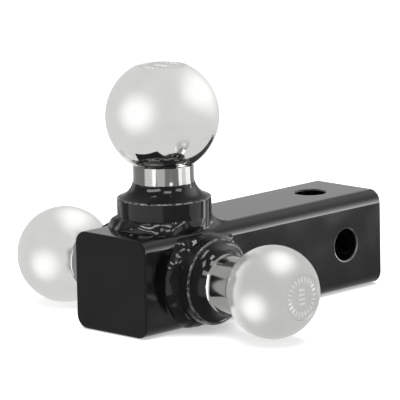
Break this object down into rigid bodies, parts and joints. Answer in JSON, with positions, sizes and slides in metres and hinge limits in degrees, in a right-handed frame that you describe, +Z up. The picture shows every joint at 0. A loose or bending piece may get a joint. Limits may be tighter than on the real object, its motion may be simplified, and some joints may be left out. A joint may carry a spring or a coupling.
{
  "type": "three-ball trailer hitch mount",
  "caption": "Solid square hitch shank with a chromed tow ball welded to its top and to each side, and crossed pin holes near the receiver end.",
  "frame": {"origin": "on the shank's underside, straight below the point where the axes of the three balls meet", "axes": "+Z up along the largest ball's axis, +Y along the shank to the end that goes into the receiver, +X towards the smallest ball"},
  "size_m": [0.1928, 0.1778, 0.1336],
  "materials": {
    "chrome_plate": "polished chrome plate",
    "powder_coated_bar": "gloss black powder coat over flat bar",
    "powder_coated_collar": "gloss black powder coat over turned steel",
    "coated_weld": "gloss black powder coat over a rippled weld"
  },
  "bodies": {
    "root": {"shank_bar": "powder_coated_bar", "large_ball": "chrome_plate", "large_base_collar": "powder_coated_collar", "large_weld_bead": "coated_weld", "medium_ball": "chrome_plate", "medium_base_collar": "powder_coated_collar", "medium_weld_bead": "coated_weld", "small_ball": "chrome_plate", "small_base_collar": "powder_coated_collar", "small_weld_bead": "coated_weld"}
  },
  "joints": []
}
